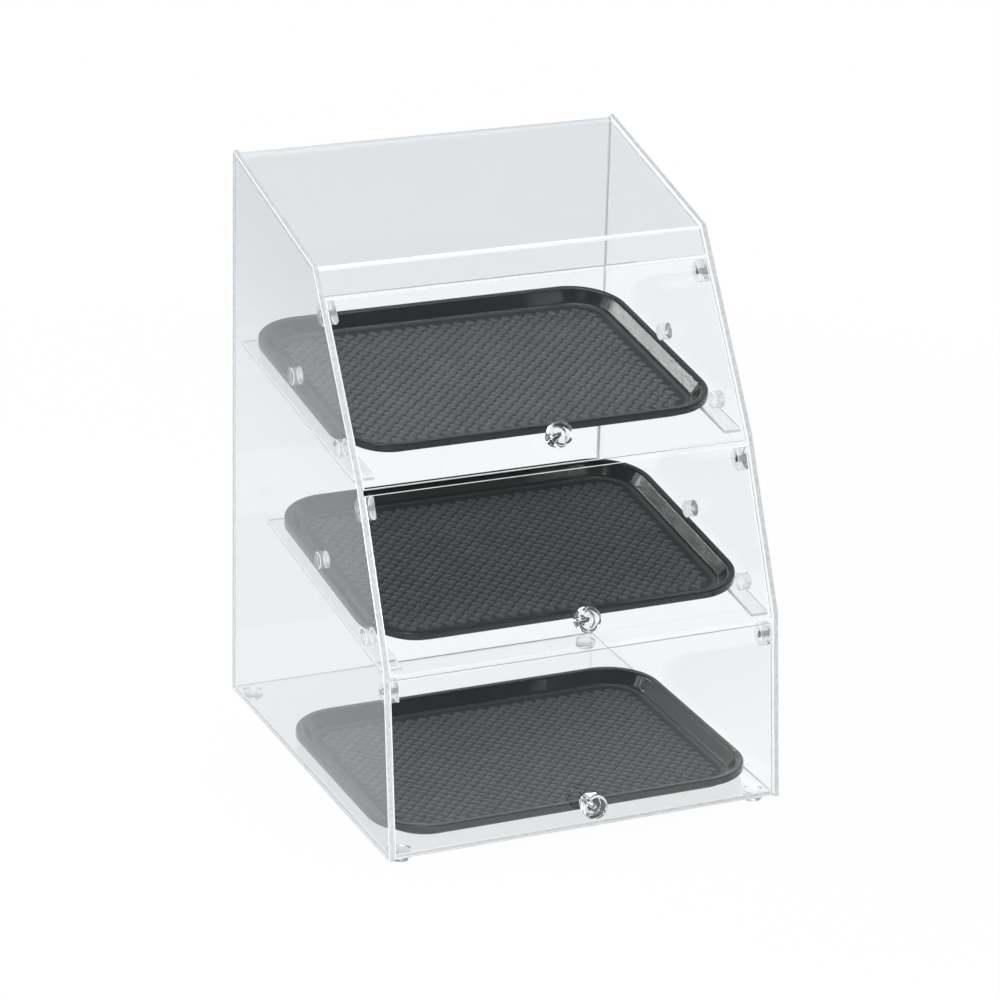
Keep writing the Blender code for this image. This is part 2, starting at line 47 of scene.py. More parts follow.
# Shapes of the trays, as in the solids that they replace
TRAY_HEIGHT = 0.0165
TRAY_CORNER = 0.056
TRAY_FLOOR_THICKNESS = 0.0026
TRAY_FLARE = 0.0085
TRAY_WALL = 0.0026
TRAY_RIM = 0.0050
TRAY_SKIRT = 0.0080
TRAY_SKIRT_THICKNESS = 0.0022
TRAY_EDGE_ROUND = 0.0016
TRAY_CORNER_STEPS = 24
TRAY_ROUND_STEPS = 5
TRAY_SHARP_ANGLE = math.radians(60)
LONG_RUN = 0.003
HOLD_DISTANCE = 0.0004
TIER_TILT = math.radians(7.2)

# Woven relief of the tray floors: crowned pads on a square grid, every other place empty,
# turned to one diagonal in even rows and to the other in odd rows. The relief and the duller
# plastic between its pads, darkened with painted shade, end inside the foot of the wall.
WEAVE_PITCH = 0.00685
WEAVE_TURN = math.radians(45)
PAD_HALF_LENGTH = 0.0048
PAD_HALF_WIDTH = 0.0038
PAD_HEIGHT = 0.0008
WEAVE_BORDER = 0.0105
PLAIN_BORDER = 0.0050
# Stations along and across a pad: share of its half length or width, share of its height
PAD_ALONG = ((-1.0, 0.0), (-0.80, 0.62), (-0.35, 0.96), (0.35, 0.96), (0.80, 0.62), (1.0, 0.0))
PAD_ACROSS = ((-1.0, 0.0), (-0.74, 0.74), (0.0, 1.0), (0.74, 0.74), (1.0, 0.0))
PAD_END_NARROWING = 0.30

# Round pieces
TURNED_STEPS = 72
EDGE_STEPS = 5
SHARP_ANGLE = math.radians(40)
PEG_EDGE = 0.0007
PIN_EDGE = 0.0005
BARREL_EDGE = 0.0006
FOOT_EDGE = 0.0030
FOOT_TOP_EDGE = 0.0008
BORE_CLEARANCE = 0.0001

# Knobs: lengths from the door outwards, and radii
KNOB_WAIST_RADIUS = 0.0075
KNOB_COLLAR_RADIUS = 0.0095
KNOB_COLLAR = 0.004
KNOB_NECK = 0.008
KNOB_EDGE = 0.0038
KNOB_CROWN = 0.0012
KNOB_CROWN_SHARES = (0.3, 0.6, 0.85)
KNOB_COLLAR_EDGE = 0.0002
KNOB_WAIST_EDGE = 0.0012
SCREW_RADIUS = 0.0020
SCREW_HEAD_RADIUS = 0.0045
SCREW_HEAD_HEIGHT = 0.0026
SCREW_DRIVE_RADIUS = 0.0016
SCREW_DRIVE_DEPTH = 0.0014
SCREW_EDGE = 0.0006
SCREW_DOME_SHARES = (0.25, 0.5, 0.7)
BORE_DEPTH = 0.0123
BORE_RADIUS = 0.0023

# Broad faces look this far along their direction, and sawn faces hardly at all. The roof
# and its lip look this far up.
BROAD_FACE_SHARE = 0.994
SAWN_FACE_SHARE = 0.20
ROOF_UP_SHARE = 0.8
LIP_UP_SHARE = 0.3

# Places of the plastics of a tray among its mesh's materials
PAD_INDEX = 0
SATIN_INDEX = 1
GAP_INDEX = 2
BORDER_INDEX = 3

# Stage
FLOOR_HALF = 14.0
FLOOR_GAP = 0.0002
FLOOR_GLOW_SHARE = 0.955
FLOOR_GLOW_REACH = (0.9, 1.6)

# The floor as seen through the acrylic: a painted shadow under the base, and painted shade,
# greyer, far behind. Each tone is given with the distance from the middle at which it begins
# and is complete.
FLOOR_PAINTED_SHADOW = (0.56, 0.59, 0.61)
UNDER_REACH = (0.20, 0.30)
FLOOR_FAR_PAINTED_SHADE = (0.84, 0.865, 0.885)
FAR_REACH = (1.70, 2.20)
# The floor as mirrored in glossy pieces: painted shade, darker in front, by its place along Y
FLOOR_BEHIND = (0.985, 0.99, 1.00)
FLOOR_FRONT_PAINTED_SHADE = (0.30, 0.31, 0.32)
FRONT_REACH = (-0.9, -0.35)

# Lamps: name, place, the point that it faces, width, height and power in watts
LAMPS = (
    ("overhead_lamp", (0.2, 0.5, 2.6), (0, 0, 0.3), 1.6, 1.6, 21),
    ("side_lamp", (-2.0, 0.9, 1.7), (0, 0, 0.35), 1.2, 1.2, 9),
    ("front_fill", (-1.5, -2.7, 1.9), (0, 0, 0.3), 1.0, 1.0, 75),
    ("back_strip", (-0.85, 1.3, 1.01), (0.2, -0.05, 0.84), 0.70, 0.45, 6),
)

# Brightness of the studio by the height of a direction, in front of and behind the object,
# and its slightly cool tone
TURN_REACH = (-0.25, 0.25)
STUDIO_TONE = (0.985, 0.995, 1.0)
FRONT_LEVELS = ((0.0, 0.50), (0.30, 0.20), (0.70, 0.16), (1.0, 0.30))
BACK_LEVELS = ((0.0, 0.95), (0.45, 0.85), (0.65, 0.25), (1.0, 0.30))

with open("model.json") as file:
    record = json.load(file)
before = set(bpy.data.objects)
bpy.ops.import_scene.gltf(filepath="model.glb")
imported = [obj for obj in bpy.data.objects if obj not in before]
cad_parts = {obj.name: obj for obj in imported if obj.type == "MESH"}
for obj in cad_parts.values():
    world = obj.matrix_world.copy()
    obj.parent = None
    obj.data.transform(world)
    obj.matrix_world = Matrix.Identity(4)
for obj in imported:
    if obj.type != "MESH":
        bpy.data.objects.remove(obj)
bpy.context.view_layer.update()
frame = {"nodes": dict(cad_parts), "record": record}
record = frame["record"]
node_body = {node: body for body, nodes in record["behaviour"]["bodies"].items() for node in nodes}

WHITE = (1.0, 1.0, 1.0)

# Tones of acrylic edges: sawn faces, pale with painted light in their frosted tone, and the
# rounded corners beside them, whiter with painted highlights
SAWN_FROST_AND_PAINTED_LIGHT_LOW = (0.56, 0.59, 0.61)
SAWN_FROST_AND_PAINTED_LIGHT_HIGH = (0.68, 0.71, 0.73)
CORNER_HIGHLIGHT_LOW = (0.93, 0.95, 0.96)
CORNER_HIGHLIGHT_HIGH = (0.985, 0.99, 0.99)
SAWN_ROUGHNESS = 0.15
CORNER_ROUGHNESS = 0.08
EDGE_INDEX = 1.49
SHEET_EDGE_CLEAR = 0.0
ROD_EDGE_CLEAR = 0.72

# Indices of refraction of the clear pieces, and their tints: the sheets that are looked
# through at a slant are greyer with painted shade in their tints, and the left one more so
# towards its top
SHEET_INDEX = 1.40
SHEET_TINT = (0.994, 0.997, 0.998)
LEFT_TINT_AND_SHADE = (0.865, 0.875, 0.885)
LEFT_TOP_TINT_AND_SHADE = (0.690, 0.705, 0.720)
LEFT_SHADE_REACH = (0.30, 0.60)
RIGHT_TINT_AND_SHADE = (0.975, 0.980, 0.985)
RIGHT_INDEX = 1.15
ROOF_TINT_AND_SHADE = (0.885, 0.897, 0.910)
BASE_TINT_AND_SHADE = (0.945, 0.952, 0.960)
SHEET_LOOKS = {
    "left_side_panel": (LEFT_TINT_AND_SHADE, SHEET_INDEX),
    "right_side_panel": (RIGHT_TINT_AND_SHADE, RIGHT_INDEX),
    "top_panel": (ROOF_TINT_AND_SHADE, SHEET_INDEX),
    "base_panel": (BASE_TINT_AND_SHADE, SHEET_INDEX),
}
TURNED_TINT = (0.985, 0.990, 0.993)
TURNED_INDEX = 1.46
BUMPER_INDEX = 1.45
ABSORBED_TONE = (0.70, 0.86, 0.92)
ABSORBED_DENSITY = 0.4
POLISH_ROUGHNESS = (0.0, 0.012)

# Tones of the trays' plastic, darkest and lightest, its roughness and its gloss
PAD_TONES = ((0.048, 0.055, 0.060), (0.060, 0.069, 0.075))
PLAIN_TONES = ((0.036, 0.045, 0.044), (0.044, 0.054, 0.053))
# Painted shade: the plastic between the pads is darker than the pads.
GAP_PAINTED_SHADE_TONES = ((0.016, 0.019, 0.021), (0.022, 0.026, 0.028))
# Painted shade: the walls, rim and skirt are darker than the floor, though of one plastic.
WALL_PAINTED_SHADE_TONES = ((0.0130, 0.0160, 0.0170), (0.0170, 0.0205, 0.0215))
FLOOR_ROUGHNESS = (0.34, 0.44)
GAP_ROUGHNESS = (0.50, 0.60)
WALL_ROUGHNESS = (0.07, 0.12)
GLOSS = 0.5
PLAIN_GLOSS = 0.4
GAP_GLOSS = 0.3

# Depth of the moulded grain on the trays' floors, and on their smoother walls
GRAIN = 0.00010
FINE_GRAIN = 0.000003
GRAIN_STRENGTH = 0.20

# Tones and roughness of the steel and of the bumpers
STEEL_TONES = ((0.22, 0.23, 0.24), (0.34, 0.35, 0.36))
STEEL_ROUGHNESS = (0.22, 0.40)
BUMPER_TONES = ((0.90, 0.93, 0.94), (0.95, 0.97, 0.98))
BUMPER_ROUGHNESS = (0.10, 0.22)

# Fineness of the patterns, in waves per metre
HANDLING_MARKS = 38.0
SAW_MARKS = 240.0
TONE_PATCHES = 22.0
GLOSS_PATCHES = 60.0
MOULDED_GRAIN = 1900.0
TURNING_MARKS = 900.0
BUMPER_HAZE = 160.0
TURNING_STRETCH = (1, 0.15, 0.15)

# How many finer waves a pattern has
PLAIN_DETAIL = 2.0
DETAIL = 3.0
RICH_DETAIL = 4.0

# The part of a noise's range that is spread over values, and over colours
VALUE_RANGE = (0.3, 0.7)
COLOUR_RANGE = (0.35, 0.65)


def material_base(name):
    """A material with its Principled shader and a texture coordinate on the object's own mesh."""
    material = bpy.data.materials.new(name)
    material.use_nodes = True
    tree = material.node_tree
    shader = tree.nodes["Principled BSDF"]
    place = tree.nodes.new("ShaderNodeTexCoord")
    return material, tree, shader, place.outputs["Object"]


def noise(tree, place, scale, detail, stretch=None):
    """A noise value, its waves given per metre and drawn out along an axis by a stretch."""
    texture = tree.nodes.new("ShaderNodeTexNoise")
    texture.inputs["Scale"].default_value = scale
    texture.inputs["Detail"].default_value = detail
    if stretch:
        mapping = tree.nodes.new("ShaderNodeMapping")
        mapping.inputs["Scale"].default_value = stretch
        tree.links.new(place, mapping.inputs["Vector"])
        place = mapping.outputs["Vector"]
    tree.links.new(place, texture.inputs["Vector"])
    return texture.outputs["Fac"]


def spread(tree, value, low, high):
    """A noise value spread between two ends."""
    node = tree.nodes.new("ShaderNodeMapRange")
    node.inputs["From Min"].default_value = VALUE_RANGE[0]
    node.inputs["From Max"].default_value = VALUE_RANGE[1]
    node.inputs["To Min"].default_value = low
    node.inputs["To Max"].default_value = high
    tree.links.new(value, node.inputs["Value"])
    return node.outputs["Result"]


def colours(tree, value, first, second):
    """A colour between two, chosen by a noise value."""
    ramp = tree.nodes.new("ShaderNodeValToRGB")
    for element, position, tone in zip(ramp.color_ramp.elements, COLOUR_RANGE, (first, second)):
        element.position = position
        element.color = (*tone, 1)
    tree.links.new(value, ramp.inputs["Fac"])
    return ramp.outputs["Color"]


def bump(tree, height, strength, distance):
    """A bump whose height is a value, as deep as a distance."""
    node = tree.nodes.new("ShaderNodeBump")
    node.inputs["Strength"].default_value = strength
    node.inputs["Distance"].default_value = distance
    tree.links.new(height, node.inputs["Height"])
    return node


def acrylic(name, tint_and_shade, index):
    """Clear polished acrylic with faint handling marks, whose colour cools what is seen through it and
    on the slanted sheets holds painted shade.
    """
    material, tree, shader, place = material_base(name)
    shader.inputs["Base Color"].default_value = (*tint_and_shade, 1)
    shader.inputs["Transmission Weight"].default_value = 1.0
    shader.inputs["IOR"].default_value = index
    rough = spread(tree, noise(tree, place, HANDLING_MARKS, RICH_DETAIL), *POLISH_ROUGHNESS)
    tree.links.new(rough, shader.inputs["Roughness"])
    volume = tree.nodes.new("ShaderNodeVolumeAbsorption")
    volume.inputs["Color"].default_value = (*ABSORBED_TONE, 1)
    volume.inputs["Density"].default_value = ABSORBED_DENSITY
    output = tree.nodes["Material Output"]
    tree.links.new(volume.outputs["Volume"], output.inputs["Volume"])
    return material


def threshold(tree, value, limit):
    """One where a value is above a limit, and zero elsewhere."""
    node = tree.nodes.new("ShaderNodeMath")
    node.operation = "GREATER_THAN"
    node.inputs[1].default_value = limit
    tree.links.new(value, node.inputs[0])
    return node.outputs["Value"]


def mixed(tree, share, first, second):
    """One shader or, by a share, the other."""
    node = tree.nodes.new("ShaderNodeMixShader")
    tree.links.new(share, node.inputs["Fac"])
    tree.links.new(first, node.inputs[1])
    tree.links.new(second, node.inputs[2])
    return node.outputs["Shader"]


def frosted_edge_with_painted_light(tree, place, low, high, roughness):
    """An acrylic edge's pale frosted tone with painted light in it, uneven with fine saw marks."""
    edge = tree.nodes.new("ShaderNodeBsdfPrincipled")
    saw = noise(tree, place, SAW_MARKS, DETAIL)
    tree.links.new(colours(tree, saw, low, high), edge.inputs["Base Color"])
    edge.inputs["Roughness"].default_value = roughness
    edge.inputs["IOR"].default_value = EDGE_INDEX
    return edge.outputs["BSDF"]


def acrylic_sheet(name, tint_and_shade, index, edge_clear, faces):
    """Acrylic whose broad faces are clear and whose sawn, polished edges are pale, with painted light
    in their tone.

    Each of the faces is a direction in which a broad face looks. The rounded corners between
    broad and sawn faces, and the bend of a sheet, are whiter than the sawn faces, with painted
    highlights.
    """
    material = acrylic(name, tint_and_shade, index)
    tree = material.node_tree
    clear = tree.nodes["Principled BSDF"]
    place = tree.nodes.new("ShaderNodeTexCoord")
    facing = None
    for direction in faces:
        dot = tree.nodes.new("ShaderNodeVectorMath")
        dot.operation = "DOT_PRODUCT"
        dot.inputs[1].default_value = direction
        tree.links.new(place.outputs["Normal"], dot.inputs[0])
        size = tree.nodes.new("ShaderNodeMath")
        size.operation = "ABSOLUTE"
        tree.links.new(dot.outputs["Value"], size.inputs[0])
        if facing is None:
            facing = size.outputs["Value"]
            continue
        larger = tree.nodes.new("ShaderNodeMath")
        larger.operation = "MAXIMUM"
        tree.links.new(facing, larger.inputs[0])
        tree.links.new(size.outputs["Value"], larger.inputs[1])
        facing = larger.outputs["Value"]
    # Painted light: sawn faces pale with painted glow, corners and the bend whiter with painted
    # highlights.
    sawn = frosted_edge_with_painted_light(tree, place.outputs["Object"], SAWN_FROST_AND_PAINTED_LIGHT_LOW, SAWN_FROST_AND_PAINTED_LIGHT_HIGH, SAWN_ROUGHNESS)
    corner = frosted_edge_with_painted_light(tree, place.outputs["Object"], CORNER_HIGHLIGHT_LOW, CORNER_HIGHLIGHT_HIGH, CORNER_ROUGHNESS)
    see_through = tree.nodes.new("ShaderNodeBsdfTransparent")
    lit_edge = tree.nodes.new("ShaderNodeMixShader")
    lit_edge.inputs["Fac"].default_value = edge_clear
    tree.links.new(sawn, lit_edge.inputs[1])
    tree.links.new(see_through.outputs["BSDF"], lit_edge.inputs[2])
    solid = mixed(tree, threshold(tree, facing, SAWN_FACE_SHARE), lit_edge.outputs["Shader"], corner)
    whole = mixed(tree, threshold(tree, facing, BROAD_FACE_SHARE), solid, clear.outputs["BSDF"])
    tree.links.new(whole, tree.nodes["Material Output"].inputs["Surface"])
    return material


def tray_plastic(name, tones, roughness, gloss, grain_depth):
    """Moulded charcoal plastic: finely grained, a little uneven in tone and gloss."""
    material, tree, shader, place = material_base(name)
    tone = noise(tree, place, TONE_PATCHES, RICH_DETAIL)
    tree.links.new(colours(tree, tone, *tones), shader.inputs["Base Color"])
    tree.links.new(spread(tree, noise(tree, place, GLOSS_PATCHES, DETAIL), *roughness),
                   shader.inputs["Roughness"])
    grain = noise(tree, place, MOULDED_GRAIN, PLAIN_DETAIL)
    relief = bump(tree, grain, GRAIN_STRENGTH, grain_depth)
    tree.links.new(relief.outputs["Normal"], shader.inputs["Normal"])
    shader.inputs["Specular IOR Level"].default_value = gloss
    return material


def steel():
    """Plain steel with fine turning marks."""
    material, tree, shader, place = material_base("turned_steel")
    marks = noise(tree, place, TURNING_MARKS, DETAIL, TURNING_STRETCH)
    tree.links.new(colours(tree, marks, *STEEL_TONES), shader.inputs["Base Color"])
    tree.links.new(spread(tree, marks, *STEEL_ROUGHNESS), shader.inputs["Roughness"])
    shader.inputs["Metallic"].default_value = 1.0
    return material


def soft_bumper():
    """Clear soft bumper, slightly hazy."""
    material, tree, shader, place = material_base("clear_bumper")
    haze = noise(tree, place, BUMPER_HAZE, DETAIL)
    tree.links.new(colours(tree, haze, *BUMPER_TONES), shader.inputs["Base Color"])
    tree.links.new(spread(tree, haze, *BUMPER_ROUGHNESS), shader.inputs["Roughness"])
    shader.inputs["Transmission Weight"].default_value = 1.0
    shader.inputs["IOR"].default_value = BUMPER_INDEX
    return material


def clear_to_lamps(piece):
    """Lets lamps and soft light through a clear piece, so that what is inside is lit."""
    piece.visible_shadow = False
    piece.visible_diffuse = False


TURNED = acrylic("clear_acrylic_turned", TURNED_TINT, TURNED_INDEX)
ROD = acrylic_sheet("clear_acrylic_rod", TURNED_TINT, SHEET_INDEX, ROD_EDGE_CLEAR,
                    [Vector((1, 0, 0))])
WOVEN_PAD = tray_plastic("charcoal_woven_pad", PAD_TONES, FLOOR_ROUGHNESS, GLOSS, GRAIN)
# Between the pads: rougher plastic, darkened with painted shade.
WOVEN_GAP_PAINTED_SHADE = tray_plastic("charcoal_woven_gap_painted_shade", GAP_PAINTED_SHADE_TONES, GAP_ROUGHNESS, GAP_GLOSS, GRAIN)
PLAIN_FLOOR = tray_plastic("charcoal_plain_floor", PLAIN_TONES, FLOOR_ROUGHNESS, PLAIN_GLOSS, GRAIN)
# Walls, rim and skirt: glossier plastic, darkened with painted shade.
SATIN_WALL_PAINTED_SHADE = tray_plastic("charcoal_satin_wall_painted_shade", WALL_PAINTED_SHADE_TONES, WALL_ROUGHNESS, GLOSS, FINE_GRAIN)
STEEL = steel()
BUMPER = soft_bumper()


def quarter(radius, start, steps=EDGE_STEPS):
    """Points of a quarter circle about (0, 0), turning from a start in quarter turns."""
    return [(radius * math.cos(math.pi / 2 * (start + step / steps)),
             radius * math.sin(math.pi / 2 * (start + step / steps))) for step in range(steps + 1)]


def revolve(name, profile, steps=TURNED_STEPS):
    """A turned mesh about Z from pairs (radius, height), closed where the radius is zero."""
    shape = bmesh.new()
    rings = []
    for radius, height in profile:
        if radius == 0:
            rings.append([shape.verts.new((0, 0, height))])
            continue
        turns = [2 * math.pi * step / steps for step in range(steps)]
        rings.append([shape.verts.new((radius * math.cos(t), radius * math.sin(t), height))
                      for t in turns])
    pairs = list(zip(rings, rings[1:]))
    if profile[0][0] and profile[-1][0]:
        pairs.append((rings[-1], rings[0]))
    for first, second in pairs:
        for index in range(steps):
            after = (index + 1) % steps
            corners = [first[index % len(first)], first[after % len(first)],
                       second[after % len(second)], second[index % len(second)]]
            shape.faces.new(list(dict.fromkeys(corners)))
    bmesh.ops.recalc_face_normals(shape, faces=shape.faces)
    return finished_mesh(name, shape)


def finished_mesh(name, shape, sharp=SHARP_ANGLE):
    """The mesh of a shape, smooth but for the edges that turn by more than an angle."""
    mesh = bpy.data.meshes.new(name)
    shape.to_mesh(mesh)
    shape.free()
    mesh.shade_smooth()
    mesh.set_sharp_from_angle(angle=sharp)
    return mesh


def add_piece(name, mesh, material, node, matrix):
    """Puts a mesh where it belongs, on the body of the node that it stands for."""
    mesh.transform(matrix)
    piece = bpy.data.objects.new(name, mesh)
    bpy.context.scene.collection.objects.link(piece)
    mesh.materials.append(material)
    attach(piece, node_body[node])
    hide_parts(node)
    if material in (TURNED, ROD, BUMPER):
        clear_to_lamps(piece)
    return piece


ALONG_X = Matrix(((0, 0, 1), (1, 0, 0), (0, 1, 0))).to_4x4()


def middle_and_size(node):
    low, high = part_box(node)
    return (low + high) / 2, high - low


def rod_profile(radius, length, edge):
    """A rod about Z with rounded ends, centred on its own middle."""
    half = length / 2
    points = [(0, half)]
    points.extend((radius - edge + x, half - edge + y) for x, y in reversed(quarter(edge, 0)))
    points.extend((radius - edge + x, -half + edge + y) for x, y in reversed(quarter(edge, 3)))
    points.append((0, -half))
    return points


def build_rod(node, edge, material):
    """A round piece along X in place of its solid."""
    middle, size = middle_and_size(node)
    mesh = revolve(node, rod_profile(max(size.y, size.z) / 2, size.x, edge))
    add_piece(node + "_turned", mesh, material, node, Matrix.Translation(middle) @ ALONG_X)


def build_barrel(node, pin_node, door_normal):
    """A clear barrel round its pin, flat where it is bonded to the door."""
    middle, size = middle_and_size(node)
    pin_middle, pin_size = middle_and_size(pin_node)
    centre = Vector((middle.x, pin_middle.y, pin_middle.z))
    points = [vertex.co for vertex in frame["nodes"][node].data.vertices]
    radius = max((Vector((0, p.y, p.z)) - Vector((0, centre.y, centre.z))).length for p in points)
    flat = max((Vector((0, p.y, p.z)) - Vector((0, centre.y, centre.z))).dot(door_normal)
               for p in points)
    bore = pin_size.z / 2 + BORE_CLEARANCE
    half = size.x / 2
    shape = bmesh.new()
    half_open = math.acos(flat / radius)
    start = math.atan2(door_normal.z, door_normal.y)
    steps = TURNED_STEPS
    outer = [start + half_open + (2 * math.pi - 2 * half_open) * step / steps
             for step in range(steps + 1)]
    inner = [start + half_open + (2 * math.pi) * step / (steps + 1) for step in range(steps + 1)]
    sections = ((bore, half, inner), (radius - BARREL_EDGE, half, outer),
                (radius, half - BARREL_EDGE, outer), (radius, -half + BARREL_EDGE, outer),
                (radius - BARREL_EDGE, -half, outer), (bore, -half, inner))
    rings = []
    for reach, across, turns in sections:
        rings.append([shape.verts.new((across, reach * math.cos(t), reach * math.sin(t)))
                      for t in turns])
    for first, second in zip(rings, rings[1:] + rings[:1]):
        count = len(first)
        for index in range(count):
            after = (index + 1) % count
            shape.faces.new((first[index], first[after], second[after], second[index]))
    bmesh.ops.recalc_face_normals(shape, faces=shape.faces)
    mesh = finished_mesh(node, shape)
    add_piece(node + "_turned", mesh, ROD, node, Matrix.Translation(centre))


def sheet_normal(node):
    """The outward direction of a door's front face."""
    faces = frame["nodes"][node].data.polygons
    front = [face for face in faces if face.normal.y < 0]
    return max(front, key=lambda face: face.area).normal.normalized()


def door_axes(node):
    """A matrix whose X is across the door, Y up along it and Z outwards."""
    out = sheet_normal(node)
    across = Vector((1, 0, 0))
    up = out.cross(across).normalized()
    return Matrix((across, up, out)).transposed()


def extents(node, axes):
    """Lowest and highest corner of a node in turned axes."""
    points = [axes.transposed() @ vertex.co for vertex in frame["nodes"][node].data.vertices]
    low = Vector([min(p[i] for p in points) for i in range(3)])
    high = Vector([max(p[i] for p in points) for i in range(3)])
    return low, high


def knob_profile(radius, reach):
    """Pairs (radius, reach) of the clear grip, from the middle of its front to its bore."""
    front = reach - KNOB_CROWN
    points = [(0, reach)]
    dome = radius - KNOB_EDGE
    points.extend((dome * share, front + KNOB_CROWN * (1 - share ** 2)) for share in KNOB_CROWN_SHARES)
    points.extend((radius - KNOB_EDGE + x, front - KNOB_EDGE + y)
                  for x, y in reversed(quarter(KNOB_EDGE, 0)))
    points.extend((radius - KNOB_EDGE + x, KNOB_NECK + KNOB_EDGE + y)
                  for x, y in reversed(quarter(KNOB_EDGE, 3)))
    waist = KNOB_WAIST_RADIUS + KNOB_WAIST_EDGE
    points.extend((waist + x, KNOB_NECK - KNOB_WAIST_EDGE + y) for x, y in quarter(KNOB_WAIST_EDGE, 1))
    points.append((KNOB_WAIST_RADIUS, KNOB_COLLAR))
    points.append((KNOB_COLLAR_RADIUS - KNOB_COLLAR_EDGE, KNOB_COLLAR))
    points.append((KNOB_COLLAR_RADIUS, KNOB_COLLAR - KNOB_COLLAR_EDGE))
    points.append((KNOB_COLLAR_RADIUS, 0))
    points.append((BORE_RADIUS, 0))
    points.append((BORE_RADIUS, BORE_DEPTH))
    points.append((0, BORE_DEPTH))
    return points


def screw_profile(length, head_end):
    """Pairs (radius, height) from the screw's tip to the recess in its head."""
    head = head_end + SCREW_HEAD_HEIGHT
    points = [(0, length), (SCREW_RADIUS - SCREW_EDGE, length), (SCREW_RADIUS, length - SCREW_EDGE),
              (SCREW_RADIUS, head), (SCREW_HEAD_RADIUS, head)]
    points.extend((SCREW_HEAD_RADIUS * math.cos(turn),
                   head - SCREW_HEAD_HEIGHT * math.sin(turn))
                  for turn in [math.pi / 2 * share for share in SCREW_DOME_SHARES])
    points.append((SCREW_DRIVE_RADIUS, head_end))
    points.append((SCREW_DRIVE_RADIUS, head_end + SCREW_DRIVE_DEPTH))
    points.append((0, head_end + SCREW_DRIVE_DEPTH))
    return points


def build_knob(door):
    """The clear grip on a door, and the steel screw that shows through it."""
    axes = door_axes(door + "_door")
    low, high = extents(door + "_knob", axes)
    seat = axes @ Vector(((low.x + high.x) / 2, (low.y + high.y) / 2, low.z))
    matrix = Matrix.Translation(seat) @ axes.to_4x4()
    grip = revolve(door + "_grip", knob_profile((high.x - low.x) / 2, high.z - low.z))
    add_piece(door + "_knob_turned", grip, TURNED, door + "_knob", matrix)
    screw_low, screw_high = extents(door + "_knob_screw", axes)
    screw = revolve(door + "_screw", screw_profile(screw_high.z - low.z, screw_low.z - low.z))
    add_piece(door + "_knob_screw_turned", screw, STEEL, door + "_knob_screw", matrix)


def build_foot(node):
    """A clear bumper with a domed lower edge."""
    middle, size = middle_and_size(node)
    half = size.z / 2
    radius = max(size.x, size.y) / 2
    points = [(0, half)]
    points.extend((radius - FOOT_TOP_EDGE + x, half - FOOT_TOP_EDGE + y)
                  for x, y in reversed(quarter(FOOT_TOP_EDGE, 0)))
    points.extend((radius - FOOT_EDGE + x, -half + FOOT_EDGE + y)
                  for x, y in reversed(quarter(FOOT_EDGE, 3)))
    points.append((0, -half))
    mesh = revolve(node, points)
    add_piece(node + "_moulded", mesh, BUMPER, node, Matrix.Translation(middle))


def ring(half_width, depth, inset, height):
    """One rounded rectangle of a tray, drawn in from the rim by an inset."""
    radius = max(TRAY_CORNER - inset, TRAY_EDGE_ROUND)
    middles = ((half_width - inset - radius, depth - inset - radius),
               (-half_width + inset + radius, depth - inset - radius),
               (-half_width + inset + radius, inset + radius),
               (half_width - inset - radius, inset + radius))
    points = []
    for quarter_turn, (across, back) in enumerate(middles):
        for step in range(TRAY_CORNER_STEPS + 1):
            turn = math.pi / 2 * (quarter_turn + step / TRAY_CORNER_STEPS)
            points.append((across + radius * math.cos(turn), back + radius * math.sin(turn), height))
    return points


def tray_section():
    """Pairs (inset from the rim, height), from under the floor round the rim to its top."""
    foot_inset = TRAY_RIM + TRAY_FLARE
    rim_under = TRAY_HEIGHT - TRAY_WALL
    skirt_low = TRAY_HEIGHT - TRAY_SKIRT
    inner_foot = foot_inset + TRAY_WALL
    rim_inner = TRAY_RIM + TRAY_WALL
    points = [(foot_inset + TRAY_EDGE_ROUND, 0), (foot_inset, TRAY_EDGE_ROUND / 2),
              (TRAY_RIM, rim_under), (TRAY_SKIRT_THICKNESS, rim_under),
              (TRAY_SKIRT_THICKNESS, skirt_low + TRAY_EDGE_ROUND / 3),
              (TRAY_SKIRT_THICKNESS / 2, skirt_low), (0, skirt_low + TRAY_EDGE_ROUND / 3)]
    points.extend((TRAY_EDGE_ROUND - x, TRAY_HEIGHT - TRAY_EDGE_ROUND + y)
                  for x, y in quarter(TRAY_EDGE_ROUND, 0, TRAY_ROUND_STEPS))
    points.append((rim_inner - TRAY_EDGE_ROUND, TRAY_HEIGHT - TRAY_EDGE_ROUND / 10))
    points.append((rim_inner - TRAY_EDGE_ROUND / 3, TRAY_HEIGHT - TRAY_EDGE_ROUND / 2))
    slope = (inner_foot - rim_inner) / (TRAY_HEIGHT - TRAY_FLOOR_THICKNESS)
    top = TRAY_HEIGHT - TRAY_EDGE_ROUND
    bottom = TRAY_FLOOR_THICKNESS + TRAY_EDGE_ROUND
    points.append((rim_inner + slope * TRAY_EDGE_ROUND / 2, top))
    points.append((inner_foot - slope * TRAY_EDGE_ROUND, bottom))
    points.append((inner_foot + TRAY_EDGE_ROUND / 3, TRAY_FLOOR_THICKNESS + TRAY_EDGE_ROUND / 3))
    points.append((inner_foot + TRAY_EDGE_ROUND, TRAY_FLOOR_THICKNESS))
    return held_flat(points)


def held_flat(points):
    """Adds a point near each end of every long run, so that its shading stays flat."""
    result = [points[0]]
    for first, second in zip(points, points[1:]):
        run = math.dist(first, second)
        if run > LONG_RUN:
            for share in (HOLD_DISTANCE / run, 1 - HOLD_DISTANCE / run):
                result.append(tuple(a + (b - a) * share for a, b in zip(first, second)))
        result.append(second)
    return result


